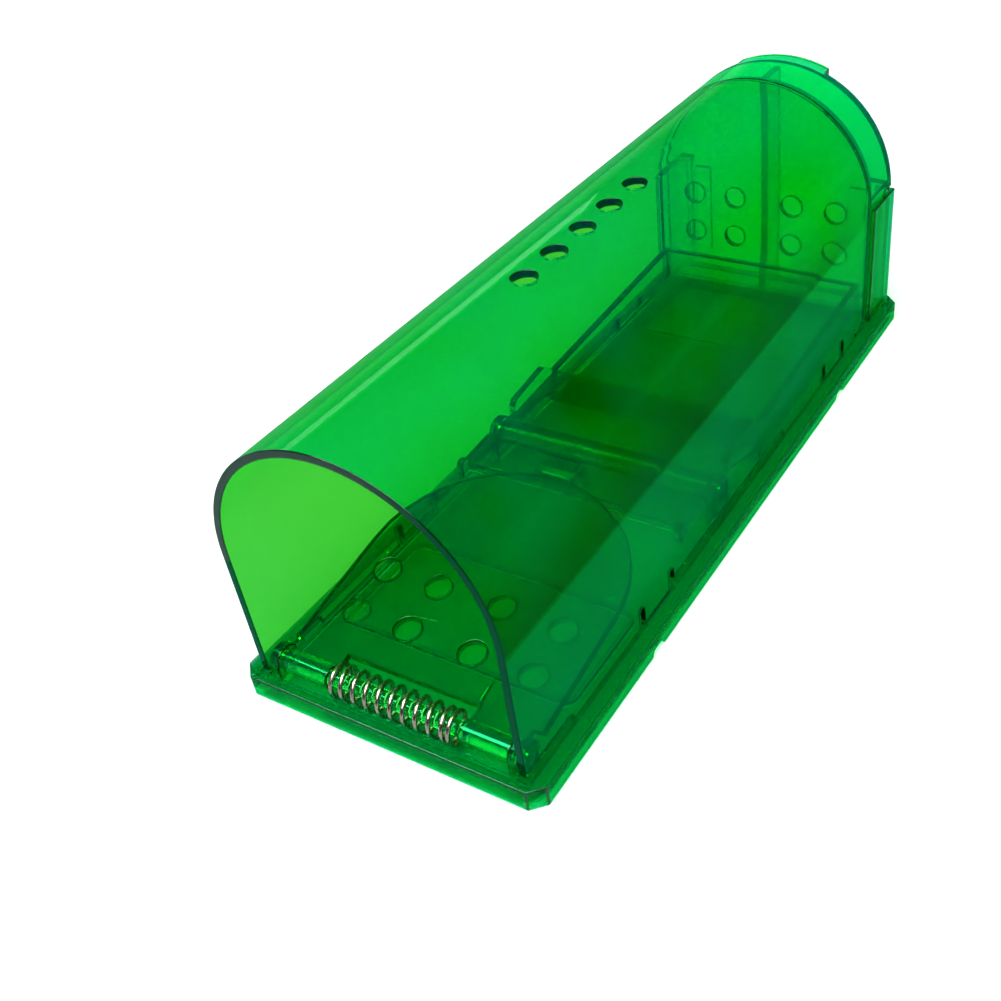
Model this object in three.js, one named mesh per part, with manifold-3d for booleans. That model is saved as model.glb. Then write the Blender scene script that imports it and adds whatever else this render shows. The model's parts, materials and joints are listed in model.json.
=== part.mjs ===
// Live catch trap for mice, set and waiting: a clear green tunnel on a tray, a spring-loaded
// entry door held down by the hook of a see-saw treadle, and a lift-off bait cap at the rear.
// Millimetres. X is across the tunnel, Y runs from the entrance (-) to the bait (+), Z is up.
// The origin is on the resting plane, under the middle of the tray.

import * as THREE from 'three';
import { mergeVertices } from 'three/addons/utils/BufferGeometryUtils.js';
import Module from 'manifold-3d';

const wasm = await Module();
wasm.setup();

// ---- driving dimensions ----

const gap = 0.3; // between two pieces that sit on or beside each other
const runningFit = 0.08; // radial, between a rod and its bore

const tray = { halfWidth: 32.5, front: -86.6, rear: 86.6, height: 4.5, floor: 1.8, corner: 2.6 };
const well = { halfWidth: 26.9, front: -84.3, rear: 84.0 }; // the sunk floor inside the tray's rim
const skirt = { halfWidth: 30.9, height: 1.2, wall: 1.6, inset: 1.5 }; // hollow underside of the rim
const underGroove = { front: 51.0, rear: 51.9, depth: 0.5 }; // across the underside of the floor
const underPocket = { halfWidth: 23.0, front: 53.0, rear: 76.0, depth: 0.6 }; // shallow, in the underside
const lipGrooves = { fronts: [-86.0, -85.1], width: 0.4, depth: 0.4 }; // fine lines along the front lip
const field = { halfWidth: 25.4, front: -66.4, rear: -40.8, corner: 3, bead: 1.1, rise: 0.9 };
const thumbNotch = { radius: 2.2, depth: 0.7, y: [-45.0, 46.0] }; // in the tray's side faces

const tunnel = { halfWidth: 28.7, wall: 1.5, top: 61.7, front: -84.1, rear: 72.2 };
const airHole = { radius: 2.5, first: -26.8, spacing: 10.2, count: 5 };
const footRuns = [[-69.0, -44.2], [-42.8, -32.5], [21.8, 44.6], [46.0, 56.3], [57.7, 65.3]];
const snapRuns = [1, 3]; // the foot runs that are snap fingers
const foot = { bottom: 2.9, barb: 0.5, barbLow: 3.1, barbHigh: 3.9, slit: 7.5, slitWidth: 1.4 };

const hinge = { y: -80.9, z: 6.0, rod: 1.5, rodHalfLength: 26.7 };
const lug = { inner: 24.9, outer: 26.9, radius: 3.0 };
const doorSet = 10; // degrees that the set door slopes up from its hinge
const door = {
  halfWidth: 26.7, thickness: 1.6, straight: 30.6, arch: 25.4, barrel: 2.3, barrelEnd: 24.6,
  notchHalfWidth: 14.4, notchDepth: 4.9, cornerNotch: 4.6, padDepth: 5.6, padHeight: 0.4,
};
const doorHoles = { x: [-19.2, -7.2, 7.2, 19.2], y: [13.9, 24.3], radius: 2.6 };

const spring = {
  coil: 3.0, wire: 0.45, turns: 11, halfLength: 13.2, closedPitch: 1.1,
  frontLeg: 2.2, doorLeg: 9.5, legSlope: 19,
};

const axle = { y: -8.0, z: 9.0, radius: 1.8, halfLength: 26.8 };
const post = { inner: 25.1, outer: 27.0, halfDepth: 3.4 };
const treadleSet = 3; // degrees that the set treadle's bait end stands up
const treadle = {
  halfWidth: 26.2, wall: 1.6, front: -22.6, step: 13.5, rear: 72.0, deckTop: 11.3,
  panFloor: 2.3, panTop: 10.9, barrel: 3.1, notchHalfWidth: 24.8, notchHalfDepth: 4.2,
};
const ear = { front: -3.4, rear: 12.6, rise: 3.2, slope: 3.0, shoulder: 0.8 };
const gusset = { front: -3.4, low: 4.0 };
const frontEar = { depth: 3.0, reach: 2.0, low: 8.7, rise: 1.3 };
const ring = { y: 1.8, outer: 3.9, inner: 3.2, rise: 0.35 };
const hook = {
  halfWidth: 4.5, noseOverlap: 0.7, noseClear: 0.45, noseTip: 0.7, nose: 1.9,
  neck: 0.9, throat: 1.2, crown: 2.0, back: 1.4, root: 2.8,
};

const cap = { front: 72.6, rear: 86.2, wall: 1.5, bottom: 4.8, seat: 34.3 };
const lip = { halfWidth: 11.0, rear: 89.2 }; // the roof of the cap runs on as a finger lip
const screen = { front: 74.4, thickness: 1.5 };
const screenHoles = { x: [-18.5, -7.5, 7.5, 18.5], z: [19.7, 30.0], radius: 2.6 };
const divider = { halfThickness: 0.9 };
const pad = { x: 20.6, halfWidth: 2.2, low: 10.0, high: 33.0, thickness: 0.7 };
const guide = { front: 72.6, rear: 85.8, halfWidth: 29.8, wall: 1.3, top: 34.0, lip: 3.6 };

const archCentre = tunnel.top - tunnel.halfWidth;
const reach = 100; // further than any piece, for cutting tools
const roundSegments = 10;
const archSegments = 28;

// ---- materials ----

function plastic(color, roughness = 0.12) {
  return new THREE.MeshStandardMaterial({
    color, roughness, metalness: 0, transparent: true, opacity: 0.55, side: THREE.DoubleSide,
  });
}

const shellGreen = 0x06b84a;
const trayGreen = 0x05a045;
const innerGreen = 0x058a38;
const steel = new THREE.MeshStandardMaterial({ color: 0xb9b6ae, roughness: 0.28, metalness: 1 });

// ---- solids ----

function solid(geometry) {
  geometry.deleteAttribute('normal');
  geometry.deleteAttribute('uv');
  const merged = mergeVertices(geometry, 1e-4);
  return new wasm.Manifold(new wasm.Mesh({
    numProp: 3,
    vertProperties: new Float32Array(merged.attributes.position.array),
    triVerts: new Uint32Array(merged.index.array),
  }));
}

function extrude(shape, depth, curveSegments) {
  return new THREE.ExtrudeGeometry(shape, { depth, bevelEnabled: false, curveSegments });
}

// a shape drawn in X and Y, standing from z0 to z1
function standing(shape, z0, z1, curveSegments = roundSegments) {
  return solid(extrude(shape, z1 - z0, curveSegments).translate(0, 0, z0));
}

// a shape drawn in X and Z, running from y0 to y1
function lengthwise(shape, y0, y1, curveSegments = archSegments) {
  return solid(extrude(shape, y1 - y0, curveSegments).rotateX(Math.PI / 2).translate(0, y1, 0));
}

// a shape drawn in Y and Z, running from x0 to x1
function crosswise(shape, x0, x1, curveSegments = roundSegments) {
  const turn = new THREE.Matrix4().makeBasis(
    new THREE.Vector3(0, 1, 0), new THREE.Vector3(0, 0, 1), new THREE.Vector3(1, 0, 0),
  );
  return solid(extrude(shape, x1 - x0, curveSegments).applyMatrix4(turn).translate(x0, 0, 0));
}

function block(x0, x1, y0, y1, z0, z1) {
  const box = new THREE.BoxGeometry(x1 - x0, y1 - y0, z1 - z0);
  return solid(box.translate((x0 + x1) / 2, (y0 + y1) / 2, (z0 + z1) / 2));
}

function outline(points) {
  return new THREE.Shape(points.map(([a, b]) => new THREE.Vector2(a, b)));
}

function disc(a, b, radius) {
  const shape = new THREE.Shape();
  shape.absarc(a, b, radius, 0, 2 * Math.PI, false);
  return shape;
}

// a round bar along X
function bar(radius, x0, x1, y, z) {
  return crosswise(disc(y, z, radius), x0, x1);
}

// the same piece on the left and on the right
function onBothSides(make) {
  const right = make();
  return right.add(right.mirror([1, 0, 0]));
}

function join(pieces) {
  return pieces.reduce((whole, piece) => whole.add(piece));
}

function mesh(name, body, material) {
  const result = body.getMesh();
  const geometry = new THREE.BufferGeometry();
  geometry.setAttribute('position', new THREE.BufferAttribute(result.vertProperties, 3));
  geometry.setIndex(new THREE.BufferAttribute(result.triVerts, 1));
  const faceted = geometry.toNonIndexed();
  faceted.computeVertexNormals();
  const node = new THREE.Mesh(faceted, material);
  node.name = name;
  return node;
}

// ---- tray ----

function trayOutline(inset) {
  const x = tray.halfWidth - inset;
  const y0 = tray.front + inset;
  const y1 = tray.rear - inset;
  const c = tray.corner;
  return outline([
    [-x + c, y0], [x - c, y0], [x, y0 + c], [x, y1 - c],
    [x - c, y1], [-x + c, y1], [-x, y1 - c], [-x, y0 + c],
  ]);
}

function roundedBox(halfWidth, y0, y1, radius) {
  const shape = new THREE.Shape();
  shape.absarc(halfWidth - radius, y0 + radius, radius, -Math.PI / 2, 0, false);
  shape.absarc(halfWidth - radius, y1 - radius, radius, 0, Math.PI / 2, false);
  shape.absarc(-halfWidth + radius, y1 - radius, radius, Math.PI / 2, Math.PI, false);
  shape.absarc(-halfWidth + radius, y0 + radius, radius, Math.PI, 1.5 * Math.PI, false);
  return shape;
}

// an upright plate with a round top about (y, z), standing on the tray's floor
function roundTopPlate(x0, x1, y, z, radius) {
  const shape = new THREE.Shape();
  shape.moveTo(y - radius, tray.floor - gap);
  shape.lineTo(y + radius, tray.floor - gap);
  shape.lineTo(y + radius, z);
  shape.absarc(y, z, radius, 0, Math.PI, false);
  return crosswise(shape, x0, x1);
}

// the bead that frames a plain field on the floor under the door
function floorBead() {
  const shape = roundedBox(field.halfWidth, field.front, field.rear, field.corner);
  const inner = roundedBox(
    field.halfWidth - field.bead, field.front + field.bead, field.rear - field.bead,
    field.corner - field.bead,
  );
  shape.holes.push(inner);
  return standing(shape, tray.floor - gap, tray.floor + field.rise, 6);
}

// an upright corner at the rear that the bait cap slides down into
function capGuide() {
  const inner = guide.halfWidth - guide.wall;
  const side = block(inner, guide.halfWidth, guide.front, guide.rear, foot.bottom, guide.top);
  const returnLip = block(
    inner - guide.lip, guide.halfWidth, guide.rear - guide.wall, guide.rear, foot.bottom, guide.top,
  );
  return side.add(returnLip);
}

function makeTray() {
  let body = standing(trayOutline(0), 0, tray.height);
  body = body.subtract(block(
    -well.halfWidth, well.halfWidth, well.front, well.rear, tray.floor, tray.height + 1,
  ));
  // the rim is hollow underneath
  const skirtInner = block(
    -well.halfWidth - skirt.inset, well.halfWidth + skirt.inset,
    well.front - skirt.inset, well.rear + skirt.inset, -1, skirt.height + 1,
  );
  const channel = block(
    -skirt.halfWidth, skirt.halfWidth, tray.front + skirt.wall, tray.rear - skirt.wall, -1, skirt.height,
  ).subtract(skirtInner);
  body = body.subtract(channel);
  for (const y of lipGrooves.fronts) {
    body = body.subtract(block(
      -tray.halfWidth + tray.corner, tray.halfWidth - tray.corner,
      y, y + lipGrooves.width, tray.height - lipGrooves.depth, tray.height + 1,
    ));
  }
  body = body.subtract(block(
    -well.halfWidth, well.halfWidth, underGroove.front, underGroove.rear, -1, underGroove.depth,
  ));
  body = body.subtract(block(
    -underPocket.halfWidth, underPocket.halfWidth,
    underPocket.front, underPocket.rear, -1, underPocket.depth,
  ));
  // rebates that take the tunnel's feet, undercut where a snap finger's barb sits
  for (const [index, [y0, y1]] of footRuns.entries()) {
    body = body.subtract(onBothSides(() => block(
      well.halfWidth - 1, tunnel.halfWidth + gap, y0 - gap, y1 + gap, foot.bottom - gap, tray.height + 1,
    )));
    if (snapRuns.includes(index)) {
      body = body.subtract(onBothSides(() => block(
        tunnel.halfWidth - 1, tunnel.halfWidth + foot.barb + gap, y0 - gap, y1 + gap,
        foot.bottom - gap, foot.barbHigh + gap / 2,
      )));
    }
  }
  for (const y of thumbNotch.y) {
    body = body.subtract(onBothSides(() => crosswise(
      disc(y, 0, thumbNotch.radius), tray.halfWidth - thumbNotch.depth, tray.halfWidth + 1,
    )));
  }
  body = join([
    body,
    floorBead(),
    onBothSides(capGuide),
    onBothSides(() => roundTopPlate(lug.inner, lug.outer, hinge.y, hinge.z, lug.radius)),
    onBothSides(() => roundTopPlate(post.inner, post.outer, axle.y, axle.z, post.halfDepth)),
  ]);
  body = body.subtract(bar(hinge.rod + runningFit, -reach, reach, hinge.y, hinge.z));
  body = body.subtract(bar(axle.radius + runningFit, -reach, reach, axle.y, axle.z));
  return mesh('base_tray', body, plastic(trayGreen));
}

// ---- tunnel ----

function archOutline(radius, bottom) {
  const shape = new THREE.Shape();
  shape.moveTo(-radius, bottom);
  shape.lineTo(radius, bottom);
  shape.lineTo(radius, archCentre);
  shape.absarc(0, archCentre, radius, 0, Math.PI, false);
  return shape;
}

function makeTunnel() {
  const inner = tunnel.halfWidth - tunnel.wall;
  const sill = tray.height + gap;
  let body = lengthwise(archOutline(tunnel.halfWidth, sill), tunnel.front, tunnel.rear);
  body = body.subtract(lengthwise(archOutline(inner, sill - 1), tunnel.front - 1, tunnel.rear + 1));
  for (let i = 0; i < airHole.count; i += 1) {
    const y = airHole.first + i * airHole.spacing;
    body = body.subtract(standing(disc(0, y, airHole.radius), archCentre, tunnel.top + 1));
  }
  for (const [y0, y1] of footRuns) {
    body = body.add(onBothSides(() => block(inner, tunnel.halfWidth, y0, y1, foot.bottom, sill + 1)));
  }
  for (const index of snapRuns) {
    const [y0, y1] = footRuns[index];
    const barb = outline([
      [tunnel.halfWidth - 0.5, foot.barbLow], [tunnel.halfWidth, foot.barbLow],
      [tunnel.halfWidth + foot.barb, foot.barbHigh], [tunnel.halfWidth - 0.5, foot.barbHigh],
    ]);
    body = body.add(onBothSides(() => lengthwise(barb, y0 + 1, y1 - 1)));
    for (const y of [y0 - foot.slitWidth, y1]) {
      body = body.subtract(onBothSides(() => block(
        inner - 1, tunnel.halfWidth + 1, y, y + foot.slitWidth, 0, foot.slit,
      )));
    }
  }
  return mesh('tunnel_housing', body, plastic(shellGreen, 0.08));
}

// ---- entry door, its hinge rod and its spring ----

function placeOnHinge(body) {
  return body.rotate([doorSet, 0, 0]).translate([0, hinge.y, hinge.z]);
}

function doorOutline() {
  const shape = new THREE.Shape();
  const w = door.halfWidth;
  shape.moveTo(-w, door.cornerNotch);
  shape.lineTo(-door.barrelEnd, door.cornerNotch);
  shape.lineTo(-door.barrelEnd, 0);
  shape.lineTo(-door.notchHalfWidth, 0);
  shape.lineTo(-door.notchHalfWidth, door.notchDepth);
  shape.lineTo(door.notchHalfWidth, door.notchDepth);
  shape.lineTo(door.notchHalfWidth, 0);
  shape.lineTo(door.barrelEnd, 0);
  shape.lineTo(door.barrelEnd, door.cornerNotch);
  shape.lineTo(w, door.cornerNotch);
  shape.lineTo(w, door.straight);
  shape.absellipse(0, door.straight, w, door.arch, 0, Math.PI, false, 0);
  for (const x of doorHoles.x) {
    for (const y of doorHoles.y) {
      shape.holes.push(disc(x, y, doorHoles.radius));
    }
  }
  return shape;
}

function makeDoor() {
  const half = door.thickness / 2;
  const springPad = block(
    -door.notchHalfWidth, door.notchHalfWidth, door.notchDepth, door.notchDepth + door.padDepth,
    0, half + door.padHeight,
  );
  const barrels = onBothSides(() => bar(door.barrel, door.notchHalfWidth, door.barrelEnd, 0, 0));
  let body = join([standing(doorOutline(), -half, half), springPad, barrels]);
  body = body.subtract(bar(hinge.rod + runningFit, -reach, reach, 0, 0));
  return mesh('entry_door', placeOnHinge(body), plastic(innerGreen));
}

function makeHingeRod() {
  const body = bar(hinge.rod, -hinge.rodHalfLength, hinge.rodHalfLength, hinge.y, hinge.z);
  return mesh('door_hinge_rod', body, plastic(innerGreen));
}

// a torsion spring: a short leg in front of the rod, the coil, and a long leg under the door
class SpringPath extends THREE.Curve {
  // the place along X after so many turns: the first and the last turn lie close to their neighbours
  static place(turn, turns) {
    const { halfLength, closedPitch } = spring;
    if (turn < 1) {
      return -halfLength + closedPitch * turn;
    }
    if (turn > turns - 1) {
      return halfLength - closedPitch * (turns - turn);
    }
    return THREE.MathUtils.mapLinear(turn, 1, turns - 1, closedPitch - halfLength, halfLength - closedPitch);
  }

  getPoint(t) {
    const frontShare = 0.01;
    const doorShare = 0.05;
    const start = 1.5 * Math.PI;
    const turns = spring.turns + spring.legSlope / 360;
    const along = THREE.MathUtils.clamp((t - frontShare) / (1 - frontShare - doorShare), 0, 1);
    const angle = start + along * turns * 2 * Math.PI;
    const point = new THREE.Vector3(
      SpringPath.place(along * turns, turns),
      hinge.y + spring.coil * Math.cos(angle),
      hinge.z + spring.coil * Math.sin(angle),
    );
    const legLength = spring.doorLeg * Math.max(0, (t - 1 + doorShare) / doorShare)
      - spring.frontLeg * Math.max(0, 1 - t / frontShare);
    point.y -= legLength * Math.sin(angle);
    point.z += legLength * Math.cos(angle);
    return point;
  }
}

function makeSpring() {
  const geometry = new THREE.ExtrudeGeometry(disc(0, 0, spring.wire), {
    steps: spring.turns * 18, curveSegments: 4, bevelEnabled: false, extrudePath: new SpringPath(),
  });
  return mesh('door_spring', solid(geometry), steel);
}

// ---- treadle and its axle ----

function tiltToSet(body) {
  return body.translate([0, -axle.y, -axle.z]).rotate([treadleSet, 0, 0]).translate([0, axle.y, axle.z]);
}

function sideEar() {
  const top = treadle.deckTop + ear.rise;
  const low = treadle.deckTop - treadle.wall;
  const shape = outline([
    [ear.front, low], [ear.rear, low], [ear.rear, treadle.deckTop + ear.shoulder],
    [ear.rear - ear.slope, top], [ear.front + ear.shoulder, top - ear.shoulder],
    [ear.front, top - 2 * ear.shoulder],
  ]);
  return crosswise(shape, treadle.halfWidth - treadle.wall, treadle.halfWidth);
}

function sideGusset() {
  const top = treadle.deckTop - treadle.wall / 2;
  const shape = outline([[gusset.front, top], [treadle.step, gusset.low], [treadle.step, top]]);
  return crosswise(shape, treadle.halfWidth - treadle.wall, treadle.halfWidth);
}

function cornerEar() {
  const y0 = treadle.front - frontEar.reach;
  const top = treadle.deckTop + frontEar.rise;
  const r = frontEar.depth / 2;
  const shape = new THREE.Shape();
  shape.moveTo(y0, frontEar.low);
  shape.lineTo(y0 + frontEar.depth, frontEar.low);
  shape.lineTo(y0 + frontEar.depth, top - r);
  shape.absarc(y0 + r, top - r, r, 0, Math.PI, false);
  return crosswise(shape, treadle.halfWidth - treadle.wall, treadle.halfWidth, 6);
}

// the catch at the front edge: its nose lies just over the tip of the set door
function catchHook() {
  const slope = THREE.MathUtils.degToRad(doorSet);
  const tipReach = door.straight + door.arch;
  const tipY = hinge.y + tipReach * Math.cos(slope);
  const tipTop = hinge.z + tipReach * Math.sin(slope) + door.thickness / 2;
  const noseY = tipY - hook.noseOverlap;
  const noseZ = tipTop + hook.noseClear;
  const rootZ = treadle.deckTop - treadle.wall;
  const shape = outline([
    [treadle.front, rootZ], [treadle.front - hook.neck, noseZ - hook.throat], [noseY + hook.nose, noseZ],
    [noseY, noseZ], [noseY, noseZ + hook.noseTip], [treadle.front, noseZ + hook.crown],
    [treadle.front + hook.back, noseZ + hook.throat], [treadle.front + hook.root, rootZ],
  ]);
  return crosswise(shape, -hook.halfWidth, hook.halfWidth);
}

function makeTreadle() {
  const w = treadle.halfWidth;
  const wall = treadle.wall;
  const deckLow = treadle.deckTop - wall;
  const deck = block(-w, w, treadle.front, treadle.step, deckLow, treadle.deckTop);
  const pan = block(-w, w, treadle.step - wall, treadle.rear, treadle.panFloor, treadle.panTop).subtract(
    block(-w + wall, w - wall, treadle.step, treadle.rear - wall, treadle.panFloor + wall, reach),
  );
  const plainRing = disc(0, ring.y, ring.outer);
  plainRing.holes.push(disc(0, ring.y, ring.inner));
  const frontLip = block(-w, w, treadle.front, treadle.front + wall, deckLow - 1, treadle.deckTop);
  let body = join([
    deck,
    pan,
    frontLip,
    bar(treadle.barrel, -w, w, axle.y, axle.z),
    standing(plainRing, deckLow, treadle.deckTop + ring.rise),
    onBothSides(sideEar),
    onBothSides(sideGusset),
    onBothSides(cornerEar),
  ]);
  body = body.subtract(onBothSides(() => block(
    treadle.notchHalfWidth, reach,
    axle.y - treadle.notchHalfDepth, axle.y + treadle.notchHalfDepth, 0, reach,
  )));
  body = body.subtract(bar(axle.radius + runningFit, -reach, reach, axle.y, axle.z));
  return mesh('treadle', tiltToSet(body).add(catchHook()), plastic(innerGreen));
}

function makeAxle() {
  const body = bar(axle.radius, -axle.halfLength, axle.halfLength, axle.y, axle.z);
  return mesh('treadle_axle', body, plastic(innerGreen));
}

// ---- bait end: bait cap, screen and divider ----

// the part of an arch above a level, from y0 to y1
function roof(radius, level, y0, y1) {
  const arch = lengthwise(archOutline(radius, archCentre - 1), y0, y1);
  return arch.intersect(block(-reach, reach, y0, y1, level, reach));
}

// the cap's body below the arch: it narrows at the rear corners, where the guides wrap round it
function capBody(inset, bottom, top, front) {
  const half = guide.halfWidth - guide.wall - gap - inset;
  const shoulder = guide.rear - guide.wall - gap - inset;
  const wide = block(-half, half, front, shoulder, bottom, top);
  const narrow = block(-half + guide.lip, half - guide.lip, front, cap.rear - inset, bottom, top);
  return wide.add(narrow);
}

function makeCap() {
  const seatTop = cap.seat + cap.wall;
  const outerArch = roof(tunnel.halfWidth, cap.seat, cap.front, cap.rear);
  const lower = capBody(0, cap.bottom, cap.seat + 1, cap.front);
  const upperRoom = roof(tunnel.halfWidth - cap.wall, seatTop, cap.front - 1, cap.rear - cap.wall);
  const lowerRoom = capBody(cap.wall, 0, seatTop + 0.1, cap.front - 1);
  const fingerLip = roof(tunnel.halfWidth, archCentre, cap.rear - 1, lip.rear).subtract(
    roof(tunnel.halfWidth - cap.wall, archCentre - 1, cap.rear - 2, lip.rear + 1),
  ).intersect(block(-lip.halfWidth, lip.halfWidth, 0, reach, archCentre, reach));
  const pads = onBothSides(() => block(
    pad.x - pad.halfWidth, pad.x + pad.halfWidth,
    cap.rear - cap.wall - pad.thickness, cap.rear - cap.wall / 2, pad.low, pad.high,
  ));
  const body = join([outerArch, lower, fingerLip]).subtract(upperRoom).subtract(lowerRoom).add(pads);
  return mesh('bait_cap', body, plastic(shellGreen, 0.08));
}

function makeScreen() {
  const radius = tunnel.halfWidth - cap.wall - gap;
  const half = guide.halfWidth - guide.wall - cap.wall - 2 * gap;
  const rear = screen.front + screen.thickness;
  let body = lengthwise(archOutline(radius, cap.bottom + gap), screen.front, rear);
  body = body.intersect(block(-half, half, screen.front - 1, rear + 1, 0, reach));
  for (const x of screenHoles.x) {
    for (const z of screenHoles.z) {
      body = body.subtract(lengthwise(disc(x, z, screenHoles.radius), screen.front - 1, rear + 1, 14));
    }
  }
  return mesh('bait_screen', body, plastic(shellGreen));
}

function makeDivider() {
  const body = block(
    -divider.halfThickness, divider.halfThickness,
    screen.front + screen.thickness + gap, cap.rear - cap.wall - gap,
    cap.bottom + gap, tunnel.top - cap.wall - 2 * gap,
  );
  return mesh('bait_divider', body, plastic(innerGreen));
}

// ---- the whole trap ----

const trap = new THREE.Group();
trap.add(
  makeTray(), makeTunnel(),
  makeDoor(), makeHingeRod(), makeSpring(),
  makeTreadle(), makeAxle(),
  makeCap(), makeScreen(), makeDivider(),
);

export default trap;
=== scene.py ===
"""Looks for the live catch trap: clear green moulded plastic, a drawn-wire spring, a pale studio floor.

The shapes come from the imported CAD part. Each moulded piece is a copy of its CAD node with its edges
rounded, as a mould leaves them. The spring is made new, so that its leg can follow the door.
"""

import json
from math import cos, pi, radians, sin, tan

import bmesh
import bpy
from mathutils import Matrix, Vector


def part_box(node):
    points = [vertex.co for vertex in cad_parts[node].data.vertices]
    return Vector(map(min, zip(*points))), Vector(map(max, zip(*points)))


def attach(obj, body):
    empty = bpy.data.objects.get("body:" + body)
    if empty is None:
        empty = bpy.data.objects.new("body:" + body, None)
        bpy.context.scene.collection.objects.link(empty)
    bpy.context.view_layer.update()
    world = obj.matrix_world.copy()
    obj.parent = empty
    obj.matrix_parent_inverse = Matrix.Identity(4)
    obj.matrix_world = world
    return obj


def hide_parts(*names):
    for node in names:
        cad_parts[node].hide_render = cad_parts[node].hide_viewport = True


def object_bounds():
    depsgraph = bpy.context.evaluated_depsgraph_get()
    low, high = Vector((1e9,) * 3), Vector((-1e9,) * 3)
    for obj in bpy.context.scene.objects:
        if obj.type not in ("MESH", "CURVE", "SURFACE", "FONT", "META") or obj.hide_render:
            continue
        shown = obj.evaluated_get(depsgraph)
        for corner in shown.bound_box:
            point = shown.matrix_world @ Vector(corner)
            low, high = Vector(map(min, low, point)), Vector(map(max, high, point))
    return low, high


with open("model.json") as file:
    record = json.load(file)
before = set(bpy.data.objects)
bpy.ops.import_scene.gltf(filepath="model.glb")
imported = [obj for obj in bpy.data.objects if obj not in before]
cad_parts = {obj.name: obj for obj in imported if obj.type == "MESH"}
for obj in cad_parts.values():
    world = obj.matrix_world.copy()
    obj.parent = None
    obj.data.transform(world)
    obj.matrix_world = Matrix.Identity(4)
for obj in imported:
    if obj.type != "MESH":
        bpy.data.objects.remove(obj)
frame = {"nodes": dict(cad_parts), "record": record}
cad_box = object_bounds()

MM = 0.001
scene = bpy.context.scene
collection = scene.collection


# ---- view ----

# the camera that shows the tray's corners, the arches and the air holes where the photo has them
CAMERA_PLACE = (0.1135, -0.18245, 0.16237)
CAMERA_TURN = (radians(51.56), radians(5.04), radians(30.0))
SENSOR_WIDTH = 36
LENS = 43.94
LENS_SHIFT = -0.0894
CAMERA_RANGE = (0.01, 50)

# the studio is white up to the first height above the horizon and dim from the second on
HORIZON = 0.03
OVERHEAD = 0.18
STUDIO_WHITE = (1.0, 1.0, 1.0, 1)
STUDIO_DIM = (0.03, 0.05, 0.04, 1)

FLOOR_RADIUS = 4.0
FLOOR_GAP = 0.02 * MM
# the paper is burnt out to white in the open, and light grey behind and under the plastic
PAPER_OPEN = (0.93, 0.93, 0.93, 1)
PAPER_BEHIND = (0.52, 0.52, 0.52, 1)


def make_camera():
    data = bpy.data.cameras.new("camera")
    data.sensor_width = SENSOR_WIDTH
    data.lens = LENS
    data.shift_x = LENS_SHIFT
    data.clip_start, data.clip_end = CAMERA_RANGE
    camera = bpy.data.objects.new("camera", data)
    camera.location = CAMERA_PLACE
    camera.rotation_euler = CAMERA_TURN
    collection.objects.link(camera)
    scene.camera = camera


def soft_light(name, place, target, size, watts, only_shine=False):
    """A flat lamp aimed at target. One that only shines is seen in reflections and lights nothing matt."""
    data = bpy.data.lights.new(name, "AREA")
    data.shape = "RECTANGLE"
    data.size, data.size_y = size
    data.energy = watts
    light = bpy.data.objects.new(name, data)
    light.visible_diffuse = not only_shine
    light.location = place
    light.rotation_euler = (Vector(target) - Vector(place)).to_track_quat("-Z", "Y").to_euler()
    collection.objects.link(light)


def make_world():
    """A studio that is white round the horizon and dim overhead."""
    world = bpy.data.worlds.new("studio")
    scene.world = world
    world.use_nodes = True
    nodes, links = world.node_tree.nodes, world.node_tree.links
    background = nodes["Background"]
    place = nodes.new("ShaderNodeTexCoord")
    split = nodes.new("ShaderNodeSeparateXYZ")
    ramp = nodes.new("ShaderNodeValToRGB")
    stops = zip(ramp.color_ramp.elements, (HORIZON, OVERHEAD), (STUDIO_WHITE, STUDIO_DIM))
    for stop, height, colour in stops:
        stop.position = height
        stop.color = colour
    links.new(place.outputs["Generated"], split.inputs[0])
    links.new(split.outputs["Z"], ramp.inputs["Fac"])
    links.new(ramp.outputs["Color"], background.inputs["Color"])
    background.inputs["Strength"].default_value = 1.0


def make_floor():
    bm = bmesh.new()
    bmesh.ops.create_circle(bm, cap_ends=True, segments=96, radius=FLOOR_RADIUS)
    mesh = bpy.data.meshes.new("floor")
    bm.to_mesh(mesh)
    bm.free()
    floor = bpy.data.objects.new("floor", mesh)
    floor.location.z = cad_box[0][2] - FLOOR_GAP
    collection.objects.link(floor)
    material = bpy.data.materials.new("floor paper")
    material.use_nodes = True
    tree = material.node_tree
    shader = tree.nodes["Principled BSDF"]
    path = tree.nodes.new("ShaderNodeLightPath")
    paper = blended(tree, path.outputs["Is Camera Ray"], PAPER_BEHIND, PAPER_OPEN)
    tree.links.new(paper, shader.inputs["Base Color"])
    shader.inputs["Roughness"].default_value = 0.9
    shader.inputs["Specular IOR Level"].default_value = 0.1
    mesh.materials.append(material)


# ---- shader nodes ----


def math_node(tree, operation, source, other):
    """other is a number or a second socket."""
    node = tree.nodes.new("ShaderNodeMath")
    node.operation = operation
    tree.links.new(source, node.inputs[0])
    if isinstance(other, (int, float)):
        node.inputs[1].default_value = other
    else:
        tree.links.new(other, node.inputs[1])
    return node.outputs[0]


def mixed(tree, share, first, second):
    """A shader between first and second."""
    node = tree.nodes.new("ShaderNodeMixShader")
    tree.links.new(share, node.inputs["Fac"])
    tree.links.new(first.outputs[0], node.inputs[1])
    tree.links.new(second.outputs[0], node.inputs[2])
    return node


def noise(tree, vector, scale, detail=3.0, roughness=0.55):
    node = tree.nodes.new("ShaderNodeTexNoise")
    node.inputs["Scale"].default_value = scale
    node.inputs["Detail"].default_value = detail
    node.inputs["Roughness"].default_value = roughness
    tree.links.new(vector, node.inputs["Vector"])
    return node.outputs["Fac"]


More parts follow.
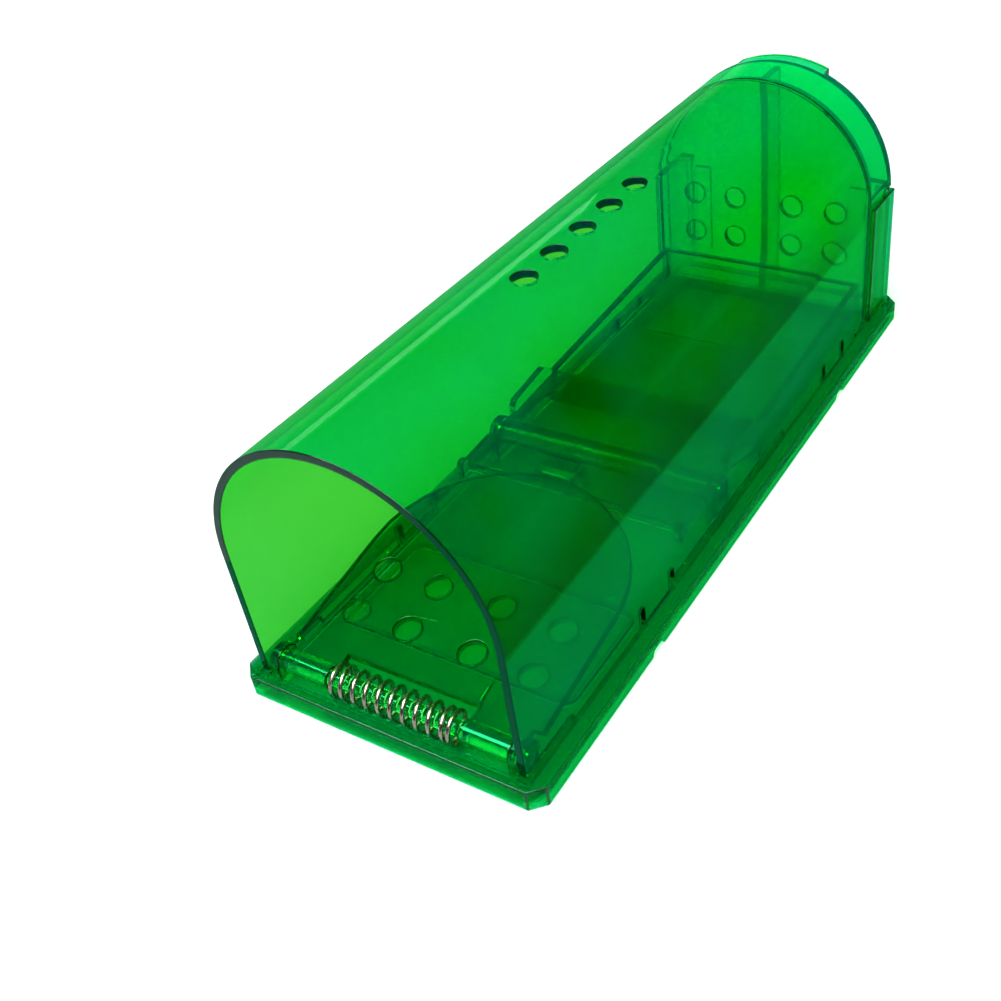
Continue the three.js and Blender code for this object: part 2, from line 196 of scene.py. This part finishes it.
def spread(tree, source, low, high, start=0.3, end=0.7):
    """The source's stretch from start to end spread over low to high."""
    node = tree.nodes.new("ShaderNodeMapRange")
    node.inputs["From Min"].default_value = start
    node.inputs["From Max"].default_value = end
    node.inputs["To Min"].default_value = low
    node.inputs["To Max"].default_value = high
    tree.links.new(source, node.inputs["Value"])
    return node.outputs["Result"]


def blended(tree, share, first, second):
    """A colour between the colours first and second."""
    node = tree.nodes.new("ShaderNodeMix")
    node.data_type = "RGBA"
    node.inputs["A"].default_value = first
    node.inputs["B"].default_value = second
    tree.links.new(share, node.inputs["Factor"])
    return node.outputs["Result"]


def multiplied(tree, share, colour, factor):
    """The socket colour times factor, as far as share says."""
    node = tree.nodes.new("ShaderNodeMix")
    node.data_type = "RGBA"
    node.blend_type = "MULTIPLY"
    node.inputs["B"].default_value = (*factor, 1)
    tree.links.new(colour, node.inputs["A"])
    tree.links.new(share, node.inputs["Factor"])
    return node.outputs["Result"]


# ---- plastic ----

PLASTIC_IOR = 1.49
TRAPPED = 0.995  # from this share thrown back on, light counts as trapped in the wall
ROUGHNESS = (0.01, 0.10)
SCUFFED = (0.55, 0.85)  # the stretch of the smears over which the wall turns rough
WAVE_STRENGTH = 0.02
WAVE_HEIGHT = 1.0 * MM

# scale per metre, layers of detail, strength of the finer layers
CLOUD_NOISE = (38.0, 2.0)
SMEAR_NOISE = (95.0, 5.0, 0.7)
WAVE_NOISE = (60.0, 1.0)
BEAD_NOISE = (420.0, 2.0)

# WHITE_GLOSS is a painted reflection colour for the left of an arch, where the highlight falls;
# reflections elsewhere are green
WHITE_GLOSS = (0.5, 0.9, 0.75, 1)
GREEN_GLOSS = (0.06, 0.9, 0.45, 1)
# the colour of the edges' reflections, which are stronger than the plastic's own: real lamps reflected,
# boosted as a painted sheen
EDGE_GLOSS = (0.3, 0.9, 0.6, 1)
# painted shade: rounded edges and the ends of thin walls let through only this share, which draws them as
# dark lines
EDGE_PAINTED_SHADE = (0.08, 0.2, 0.08)
CLOUDY_WALL = (0.93, 1.0, 0.95, 1)
CLEAR_WALL = (1.0, 1.0, 1.0, 1)
CLOUDINESS = 0.3  # how far the milk varies from place to place
LIES_FLAT = 0.7  # upward share of a face's direction from which it has the film

# an arched piece: the flat walls end at FLAT_TOP, and the painted dark strip, painted shade on the right
# of the arch, is the first stretch above them
FLAT_TOP = 31.5 * MM
PAINTED_STRIP_HEIGHT = 13 * MM
# the painted shade of the dark strip on the right of an arch, which dims what the strip lets through
PAINTED_STRIP_SHADE = (0.6, 0.72, 0.65)
RIGHT_SIDE = (8 * MM, 20 * MM)
BAIT_END = (50 * MM, 72 * MM)
FLAT_CLOUD = 0.006

# glue round one place in the bait end: the beads' height in waves, and where in their noise they are
GLUE = Vector((14, 76, 24)) * MM
GLUE_CORE = 6.8 * MM
GLUE_REACH = 17 * MM
BEAD_HEIGHT = 14.0
BEAD_SPOTS = (0.56, 0.66)


def wall_colour(tree, cloud, edge, film):
    """What a surface lets through: less where it is cloudy or lies flat, and little on a rounded edge or a
    thin wall's end, where shade is painted.
    """
    colour = blended(tree, spread(tree, cloud, 0.0, 1.0), CLOUDY_WALL, CLEAR_WALL)
    if film is not None:
        facing = tree.nodes.new("ShaderNodeNewGeometry")
        split = tree.nodes.new("ShaderNodeSeparateXYZ")
        tree.links.new(facing.outputs["True Normal"], split.inputs[0])
        upward = math_node(tree, "ABSOLUTE", split.outputs["Z"], 0)
        colour = multiplied(tree, math_node(tree, "GREATER_THAN", upward, LIES_FLAT), colour, film)
    return multiplied(tree, edge, colour, EDGE_PAINTED_SHADE)


def wavy_normal(tree, place, glued):
    """The mould's slow waves, and on a glued piece the beads of glue."""
    height = noise(tree, place, *WAVE_NOISE)
    if glued:
        away = tree.nodes.new("ShaderNodeVectorMath")
        away.operation = "DISTANCE"
        away.inputs[1].default_value = GLUE
        tree.links.new(place, away.inputs[0])
        near = spread(tree, away.outputs["Value"], 1.0, 0.0, GLUE_CORE, GLUE_REACH)
        beads = spread(tree, noise(tree, place, *BEAD_NOISE), 0.0, BEAD_HEIGHT, *BEAD_SPOTS)
        height = math_node(tree, "ADD", height, math_node(tree, "MULTIPLY", near, beads))
    wave = tree.nodes.new("ShaderNodeBump")
    wave.inputs["Strength"].default_value = WAVE_STRENGTH
    wave.inputs["Distance"].default_value = WAVE_HEIGHT
    tree.links.new(height, wave.inputs["Height"])
    return wave.outputs["Normal"]


def arch_sides(tree, place, colour, haze, fade):
    """Gives the sides of an arched piece their own colour, haze and gloss.

    The right of the arch has less haze, which leaves it darker, and a painted dark strip, painted shade
    that dims what it lets through just above the flat walls; neither reaches the bait end. The flat walls
    are cloudier. The left of the arch reflects in the whitest gloss, a painted reflection colour for the
    highlight that falls there; the highlight itself is a real lamp's.
    """
    spot = tree.nodes.new("ShaderNodeSeparateXYZ")
    tree.links.new(place, spot.inputs[0])
    right = spread(tree, spot.outputs["X"], 0.0, 1.0, *RIGHT_SIDE)
    low = math_node(tree, "LESS_THAN", spot.outputs["Z"], FLAT_TOP)
    high = math_node(tree, "SUBTRACT", right, math_node(tree, "MULTIPLY", right, low))
    high = math_node(tree, "MULTIPLY", high, spread(tree, spot.outputs["Y"], 1.0, 0.0, *BAIT_END))
    haze = math_node(tree, "ADD", haze, math_node(tree, "MULTIPLY", high, -fade))
    haze = math_node(tree, "ADD", haze, math_node(tree, "MULTIPLY", low, FLAT_CLOUD))
    # painted reflection colour: the left of the arch reflects white, for the highlight that falls there
    gloss = blended(tree, math_node(tree, "MAXIMUM", right, low), WHITE_GLOSS, GREEN_GLOSS)
    # painted shade: the dark strip above the flat walls on the right, fading upwards
    strip = spread(tree, spot.outputs["Z"], 1.0, 0.0, FLAT_TOP, FLAT_TOP + PAINTED_STRIP_HEIGHT)
    colour = multiplied(tree, math_node(tree, "MULTIPLY", high, strip), colour, PAINTED_STRIP_SHADE)
    return colour, haze, gloss


def milky(tree, colour):
    """The milkiness in the wall, lit from behind and from in front."""
    both = tree.nodes.new("ShaderNodeMixShader")
    for kind, socket in (("ShaderNodeBsdfTranslucent", 1), ("ShaderNodeBsdfDiffuse", 2)):
        shader = tree.nodes.new(kind)
        shader.inputs["Color"].default_value = colour
        tree.links.new(shader.outputs[0], both.inputs[socket])
    return both


def coloured_depth(tree, absorb):
    """The wall's own colour, which deepens with every millimetre of plastic."""
    depth = tree.nodes.new("ShaderNodeVolumeAbsorption")
    densest = max(absorb)
    depth.inputs["Color"].default_value = (*(1 - a / densest for a in absorb), 1)
    depth.inputs["Density"].default_value = densest
    return depth.outputs["Volume"]


def clear_plastic(
    name, absorb, shine, leak=0.0, milk=0.02, film=None, arched=False, fading=0.0, glued=False,
    milk_colour=(0.0, 0.65, 0.8, 1),
):
    """Clear coloured plastic: polished, slightly wavy and milky from the mould, with faint scuffs.

    absorb is how fast red, green and blue die out in the wall, per metre. shine is how much of a full
    mirror's share the surface throws back, leak is how much of the light that would be trapped in a wall
    gets out of it, and milk is the share that the haze scatters, in milk_colour. film is what each face
    that lies flat lets through. An arched piece is milkiest on its left and at the bait end, and fading is
    how much of the milk the rest of its arch lacks. A glued piece has beads of glue round GLUE.
    """
    material = bpy.data.materials.new(name)
    material.use_nodes = True
    tree = material.node_tree
    tree.nodes.remove(tree.nodes["Principled BSDF"])
    output = tree.nodes["Material Output"]
    place = tree.nodes.new("ShaderNodeTexCoord").outputs["Object"]
    # the rounding attribute marks where shade is painted on rounded edges and on the ends of thin walls
    rounding = tree.nodes.new("ShaderNodeAttribute")
    rounding.attribute_name = "rounding"
    edge = rounding.outputs["Fac"]

    cloud = noise(tree, place, *CLOUD_NOISE)
    colour = wall_colour(tree, cloud, edge, film)
    haze = spread(tree, cloud, (1 - CLOUDINESS) * milk, (1 + CLOUDINESS) * milk)
    gloss_colour = blended(tree, edge, GREEN_GLOSS, EDGE_GLOSS)
    # an arched piece gets a painted dark strip on its right and a whiter painted reflection colour on its
    # left
    if arched:
        colour, haze, gloss_colour = arch_sides(tree, place, colour, haze, fading * milk)
    rough = spread(tree, noise(tree, place, *SMEAR_NOISE), *ROUGHNESS, *SCUFFED)
    normal = wavy_normal(tree, place, glued)

    bent = tree.nodes.new("ShaderNodeBsdfRefraction")
    bent.inputs["IOR"].default_value = PLASTIC_IOR
    tree.links.new(colour, bent.inputs["Color"])
    gloss = tree.nodes.new("ShaderNodeBsdfAnisotropic")
    tree.links.new(gloss_colour, gloss.inputs["Color"])
    for shader in (bent, gloss):
        tree.links.new(rough, shader.inputs["Roughness"])
        tree.links.new(normal, shader.inputs["Normal"])

    # the haze stops at the edges, which stay clear and painted dark
    inland = math_node(tree, "SUBTRACT", haze, math_node(tree, "MULTIPLY", edge, haze))
    surface = mixed(tree, inland, bent, milky(tree, milk_colour))

    # a weak reflection outside, a stronger one on the edges, boosted there as a painted sheen, a full one
    # where light is trapped inside
    fresnel = tree.nodes.new("ShaderNodeFresnel")
    fresnel.inputs["IOR"].default_value = PLASTIC_IOR
    tree.links.new(normal, fresnel.inputs["Normal"])
    share = math_node(tree, "MULTIPLY", fresnel.outputs["Fac"], math_node(tree, "ADD", edge, shine))
    trapped = math_node(tree, "GREATER_THAN", fresnel.outputs["Fac"], TRAPPED)
    surface = mixed(tree, math_node(tree, "MAXIMUM", share, trapped), surface, gloss)

    # some of the trapped light leaks out, but not at the edges
    through = tree.nodes.new("ShaderNodeBsdfTransparent")
    escaping = math_node(tree, "MAXIMUM", math_node(tree, "SUBTRACT", trapped, edge), 0)
    surface = mixed(tree, math_node(tree, "MULTIPLY", escaping, leak), surface, through)

    # lamps shine through the walls, and the depth of plastic colours what they light
    path = tree.nodes.new("ShaderNodeLightPath")
    surface = mixed(tree, path.outputs["Is Shadow Ray"], surface, through)
    tree.links.new(surface.outputs[0], output.inputs["Surface"])
    tree.links.new(coloured_depth(tree, absorb), output.inputs["Volume"])
    return material


# ---- steel ----

GRAIN_NOISE = (2600.0, 4.0, 0.6)
STEEL_DARK = (0.22, 0.20, 0.16, 1)
STEEL_BRIGHT = (0.52, 0.48, 0.41, 1)
STEEL_ROUGHNESS = (0.16, 0.30)


def spring_wire():
    """Drawn steel wire: a warm reflection, with a fine grain in its colour, polish and relief."""
    material = bpy.data.materials.new("spring wire")
    material.use_nodes = True
    tree = material.node_tree
    shader = tree.nodes["Principled BSDF"]
    place = tree.nodes.new("ShaderNodeTexCoord").outputs["Object"]
    shader.inputs["Metallic"].default_value = 1.0
    shader.inputs["Anisotropic"].default_value = 0.4
    grain = noise(tree, place, *GRAIN_NOISE)
    colour = blended(tree, spread(tree, grain, 0.0, 1.0), STEEL_DARK, STEEL_BRIGHT)
    tree.links.new(colour, shader.inputs["Base Color"])
    tree.links.new(spread(tree, grain, *STEEL_ROUGHNESS), shader.inputs["Roughness"])
    marks = tree.nodes.new("ShaderNodeBump")
    marks.inputs["Strength"].default_value = 0.15
    marks.inputs["Distance"].default_value = 0.02 * MM
    tree.links.new(grain, marks.inputs["Height"])
    tree.links.new(marks.outputs["Normal"], shader.inputs["Normal"])
    return material


# ---- moulded pieces ----

FINE_EDGE = 0.2 * MM
EDGE = 0.32 * MM
SHARP = radians(32)
ROUND = radians(60)  # how far a rounded edge's faces may turn and still be shaded as one
RUNS_ON = radians(140)  # from this angle on, two sharp edges are one edge that bends
FLAT = radians(0.4)
SAME_SPOT = 0.002 * MM
ROOM = 2.5  # how many times its rounding an edge needs beside it
LEAST_SINE = 0.05
NARROW = 0.9 * MM  # a face's area over its outline, below which it is the end of a thin wall
MOSTLY_SHARP = 0.45  # share of such an end's outline that is sharp
UNDERSIDE = 0.8 * MM
OPEN, ROUNDED, END = range(3)
# pieces on which the ends of thin walls are painted dark, like the rounded edges
PAINTED_DARK_ENDS = ("tunnel_housing", "bait_cap", "bait_screen", "bait_divider", "entry_door")

ARCH_RADIUS = 28.7 * MM
ARCH_WALL = 1.5 * MM
ARCH_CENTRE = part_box("tunnel_housing")[1].z - ARCH_RADIUS
ARCHED = {
    "tunnel_housing": (ARCH_CENTRE, (ARCH_RADIUS, ARCH_RADIUS - ARCH_WALL)),
    "bait_cap": (ARCH_CENTRE, (ARCH_RADIUS, ARCH_RADIUS - ARCH_WALL)),
}
NEAR_ARCH = 0.15 * MM
ACROSS_ARCH = cos(radians(5))


def has_room(edge, sharp, offset):
    """Whether a sharp edge can be rounded over by offset without running into what it meets.

    Inner corners and the edges on the underside stay sharp.
    """
    for spot in edge.verts:
        along = edge.other_vert(spot).co - spot.co
        for other in spot.link_edges:
            if other is edge:
                continue
            run = other.other_vert(spot).co - spot.co
            turn = run.angle(along)
            if other in sharp and turn > RUNS_ON:
                need = offset * tan((pi - turn) / 2)
                space = min(run.length, along.length)
            else:
                need = offset / max(sin(turn), LEAST_SINE)
                space = run.length
            if space < ROOM * need:
                return False
    return edge.is_convex and max(spot.co.z for spot in edge.verts) > UNDERSIDE


def connected(edges):
    """The edges in groups that touch nowhere."""
    left = dict.fromkeys(edges)
    groups = []
    while left:
        group = [next(iter(left))]
        del left[group[0]]
        for edge in group:
            for other in (o for spot in edge.verts for o in spot.link_edges if o in left):
                del left[other]
                group.append(other)
        groups.append(group)
    return groups


def rounded_copy(node, edge):
    """The node's solid with its sharp edges rounded over by edge, and the kind of each of its faces.

    Rounded faces and the ends of thin walls have 1 in the attribute "rounding", which marks them for the
    painted edge shade.
    Each group of edges is rounded in a go of its own, because the tightest edge in a go sets the width for
    all of them.
    """
    bm = bmesh.new()
    bm.from_mesh(frame["nodes"][node].data)
    bmesh.ops.remove_doubles(bm, verts=bm.verts, dist=SAME_SPOT)
    bmesh.ops.dissolve_limit(
        bm, angle_limit=FLAT, use_dissolve_boundaries=False, verts=bm.verts, edges=bm.edges,
    )
    bm.normal_update()
    sharp = dict.fromkeys(e for e in bm.edges if e.is_manifold and e.calc_face_angle() > SHARP)
    for face in bm.faces:
        outline = sum(e.calc_length() for e in face.edges)
        cut = sum(e.calc_length() for e in face.edges if e in sharp)
        narrow = face.calc_area() < NARROW * outline and cut > MOSTLY_SHARP * outline
        face.material_index = END if narrow and node in PAINTED_DARK_ENDS else OPEN
    for group in connected([e for e in sharp if has_room(e, sharp, edge)]):
        bmesh.ops.bevel(
            bm, geom=[e for e in group if e.is_valid], offset=edge, offset_type="OFFSET", segments=2,
            profile=0.5, affect="EDGES", clamp_overlap=True, loop_slide=True, material=ROUNDED,
        )
    bmesh.ops.dissolve_degenerate(bm, dist=SAME_SPOT / 4, edges=bm.edges)
    mesh = bpy.data.meshes.new(node + ".moulded")
    bm.to_mesh(mesh)
    bm.free()
    kinds = [face.material_index for face in mesh.polygons]
    rounding = mesh.attributes.new("rounding", "FLOAT", "FACE")
    for face, kind in zip(mesh.polygons, kinds):
        rounding.data[face.index].value = float(kind != OPEN)
        face.material_index = 0
    return mesh, kinds


def shade(mesh, kinds):
    """Flat walls keep their own direction; only curved walls and rounded edges turn the shading."""
    mesh.shade_smooth()
    around = [[] for _ in mesh.vertices]
    for face in mesh.polygons:
        for spot in face.vertices:
            around[spot].append(face)
    normals = [None] * len(mesh.loops)
    for face in mesh.polygons:
        rounded = kinds[face.index] == ROUNDED
        closest = cos(ROUND if rounded else SHARP)
        for loop in face.loop_indices:
            near = around[mesh.loops[loop].vertex_index]
            walls = [f for f in near if kinds[f.index] != ROUNDED]
            pool = walls if walls or not rounded else near
            pool = [f for f in pool if f.normal.dot(face.normal) > closest] or [face]
            normals[loop] = sum((f.normal * f.area for f in pool), Vector()).normalized()
    mesh.normals_split_custom_set(normals)


def shade_arch(mesh, centre_z, radii):
    """Shades the arched faces as true cylinders along Y, outside and inside."""
    normals = [Vector(n.vector) for n in mesh.corner_normals]
    for face in mesh.polygons:
        out = Vector((face.center.x, 0, face.center.z - centre_z))
        side = face.normal.dot(out.normalized())
        if out.z < 0 or abs(side) < ACROSS_ARCH:
            continue
        for loop in face.loop_indices:
            spot = mesh.vertices[mesh.loops[loop].vertex_index].co
            radial = Vector((spot.x, 0, max(spot.z - centre_z, 0)))
            if min(abs(radial.length - r) for r in radii) < NEAR_ARCH:
                normals[loop] = radial.normalized() * (1 if side > 0 else -1)
    mesh.normals_split_custom_set(normals)


def moulded(node, body, material, edge):
    """One moulded piece, which stands in for its CAD node and rides on its body."""
    mesh, kinds = rounded_copy(node, edge)
    mesh.materials.append(material)
    shade(mesh, kinds)
    if node in ARCHED:
        shade_arch(mesh, *ARCHED[node])
    piece = bpy.data.objects.new(node + ".moulded", mesh)
    collection.objects.link(piece)
    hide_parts(node)
    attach(piece, body)


# ---- spring ----

WIRE = 0.45 * MM
LEG_WIRE = WIRE + 0.01 * MM  # a hair thicker, so that it covers the coil where both are
COIL = 3.0 * MM
SPRING_TURNS = 11
CLOSED_PITCH = 1.1 * MM
COIL_START = radians(270)
COIL_END = radians(289)
DOOR_SWING = 64  # degrees of coil that turn with the leg
FRONT_LEG = 2.2 * MM
DOOR_LEG = 9.3 * MM
FRONT_LEG_POINTS = (1.0, 0.66, 0.33)
DOOR_LEG_POINTS = (0.1, 0.3, 0.5, 0.7, 0.9, 1.0)
POINTS_PER_TURN = 32
WIRE_SIDES = 14
TIP_STEPS = 4
TIP_BULGE = 0.6


def rounded_tip(point, out, side, up, radius):
    """The rings of a wire's rounded tip, which points out; the smallest ring comes first."""
    turns = [step / TIP_STEPS * pi / 2 for step in range(1, TIP_STEPS)]
    return [(point + out * radius * TIP_BULGE * cos(t), side, up, radius * sin(t)) for t in turns]


def swept(name, points, radius):
    """A round wire along the points, with rounded tips."""
    path = [Vector(point) for point in points]
    rings = []
    side = Vector((1, 0, 0))
    for i, point in enumerate(path):
        ahead = (path[min(i + 1, len(path) - 1)] - path[max(i - 1, 0)]).normalized()
        side = (side - ahead * side.dot(ahead)).normalized()
        up = ahead.cross(side)
        if i == 0:
            rings += rounded_tip(point, -ahead, side, up, radius)
        rings.append((point, side, up, radius))
        if i == len(path) - 1:
            rings += reversed(rounded_tip(point, ahead, side, up, radius))
    bm = bmesh.new()
    loops = []
    angles = [2 * pi * k / WIRE_SIDES for k in range(WIRE_SIDES)]
    for centre, side, up, size in rings:
        loops.append([bm.verts.new(centre + (side * cos(a) + up * sin(a)) * size) for a in angles])
    for near, far in zip(loops, loops[1:]):
        for k in range(WIRE_SIDES):
            after = (k + 1) % WIRE_SIDES
            bm.faces.new((near[k], near[after], far[after], far[k]))
    bm.faces.new(loops[0][::-1])
    bm.faces.new(loops[-1])
    bmesh.ops.recalc_face_normals(bm, faces=bm.faces)
    mesh = bpy.data.meshes.new(name)
    bm.to_mesh(mesh)
    bm.free()
    mesh.shade_smooth()
    piece = bpy.data.objects.new(name, mesh)
    collection.objects.link(piece)
    return piece


def make_spring(material):
    """The coil stands with the tray. Its long leg, with a last stretch of coil, turns with the door.

    The coil is wound close for one turn at each end and evenly in between.
    """
    hinge = next(j for j in frame["record"]["behaviour"]["joints"] if j["name"] == "door_hinge")
    axis = Vector(hinge["pos_m"])
    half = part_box("door_spring")[1].x - WIRE
    turns = SPRING_TURNS + (COIL_END - COIL_START) / (2 * pi)
    arc = DOOR_SWING / 360

    def along_rod(turn):
        if turn > turns - arc:
            return half
        if turn < 1:
            return -half + CLOSED_PITCH * turn
        if turn > turns - arc - 1:
            return half - CLOSED_PITCH * (turns - arc - turn)
        share = (turn - 1) / (turns - arc - 2)
        return -half + CLOSED_PITCH + share * 2 * (half - CLOSED_PITCH)

    def on_coil(turn):
        angle = COIL_START + 2 * pi * turn
        return (along_rod(turn), axis.y + COIL * cos(angle), axis.z + COIL * sin(angle))

    steps = round(turns * POINTS_PER_TURN)
    coil = [on_coil(turns * i / steps) for i in range(steps + 1)]
    front = Vector(coil[0])
    coil = [front - Vector((0, FRONT_LEG * share, 0)) for share in FRONT_LEG_POINTS] + coil
    arc_steps = round(arc * POINTS_PER_TURN)
    leg = [on_coil(turns - arc * (1 - i / arc_steps)) for i in range(arc_steps + 1)]
    along = Vector((0, -sin(COIL_END), cos(COIL_END)))
    leg += [Vector(leg[-1]) + along * DOOR_LEG * share for share in DOOR_LEG_POINTS]
    for name, points, radius, body in (
        ("spring_coil", coil, WIRE, "base"),
        ("spring_leg", leg, LEG_WIRE, "door"),
    ):
        piece = swept(name, points, radius)
        piece.data.materials.append(material)
        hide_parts("door_spring")
        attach(piece, body)


# ---- the scene ----

BOUNCES = 32  # light passes many walls on its way through the trap

make_camera()
make_world()
make_floor()
# place and aim in metres, width and height in metres, watts
soft_light("overhead", (0.2, -0.8, 2.4), (0, 0, 0), (2.2, 2.2), 125.0)
soft_light("edge light", (-1.2, -0.6, 2.2), (0, 0, 0), (1.0, 1.0), 50.0, only_shine=True)
soft_light("left strip", (-0.9, 0.5, 0.35), (0, 0, 0.04), (0.9, 0.1), 1.2, only_shine=True)

shell = clear_plastic("shell green", (1350, 115, 1600), 0.2, milk=0.085, arched=True, fading=0.8)
cap_green = clear_plastic(
    "cap green", (1700, 30, 600), 0.2, milk=0.25, arched=True, fading=0.1, glued=True,
    milk_colour=(0.0, 0.72, 0.42, 1),
)
tray = clear_plastic("tray green", (1500, 130, 500), 0.5, leak=0.6, film=(0.5, 0.68, 0.62))
door = clear_plastic("door green", (900, 110, 500), 1.0, leak=0.4, film=(0.6, 0.88, 0.8))
inner = clear_plastic("inner green", (500, 60, 400), 1.0, leak=0.4)
treadle = clear_plastic("treadle green", (700, 80, 500), 0.3, leak=0.7, film=(0.7, 0.84, 0.74))

BODIES = frame["record"]["behaviour"]["bodies"]
SLOTS = {part["node"]: part["material_slot"] for part in frame["record"]["subparts"]}
LOOKS = {"shell_green": shell, "tray_green": tray, "inner_green": inner}
OWN_LOOKS = {
    "bait_cap": cap_green, "bait_screen": cap_green, "entry_door": door,
    "treadle": treadle, "treadle_axle": treadle, "bait_divider": tray,
}
for body, members in BODIES.items():
    for node in members:
        if SLOTS[node] in LOOKS:
            edge = FINE_EDGE if SLOTS[node] == "shell_green" else EDGE
            moulded(node, body, OWN_LOOKS.get(node, LOOKS[SLOTS[node]]), edge)
make_spring(spring_wire())

scene.view_settings.view_transform = "Standard"
scene.view_settings.look = "None"
scene.cycles.max_bounces = BOUNCES
scene.cycles.transmission_bounces = BOUNCES
scene.cycles.transparent_max_bounces = BOUNCES
scene.cycles.glossy_bounces = 8
